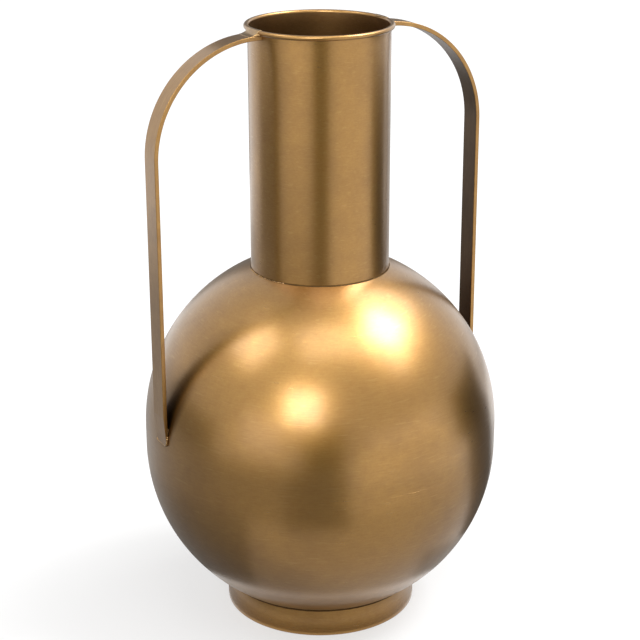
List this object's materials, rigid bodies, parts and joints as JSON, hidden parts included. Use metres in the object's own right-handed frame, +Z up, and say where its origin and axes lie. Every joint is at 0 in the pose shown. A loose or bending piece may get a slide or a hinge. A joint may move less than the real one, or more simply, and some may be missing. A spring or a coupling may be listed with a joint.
{
  "type": "urn vase",
  "caption": "Tall brass urn vase with a ball-shaped body, straight neck, rolled rim, ring foot and tall strap handles, for flowers or as an ornament.",
  "frame": {"origin": "centre of the foot's underside, on the surface that the urn stands on", "axes": "+Z up along the urn's axis, +X towards the right handle, the handles lying in the XZ plane"},
  "size_m": [0.264, 0.26, 0.442],
  "materials": {
    "body_brass": "aged satin brass with a brown patina",
    "handle_brass": "aged satin brass, brighter along its edges",
    "braze": "filed braze, paler than the sheet",
    "rim_wire_brass": "drawn brass wire, hidden in the rolled rim"
  },
  "bodies": {
    "root": {"lower_bowl": "body_brass", "upper_bowl": "body_brass", "neck_tube": "body_brass", "foot_ring": "body_brass", "left_handle": "handle_brass", "right_handle": "handle_brass", "rim_wire": "rim_wire_brass", "seam_braze": "braze", "neck_braze": "braze", "foot_braze": "braze", "left_handle_top_braze": "braze", "right_handle_top_braze": "braze", "left_handle_foot_braze": "braze", "right_handle_foot_braze": "braze"}
  },
  "joints": []
}
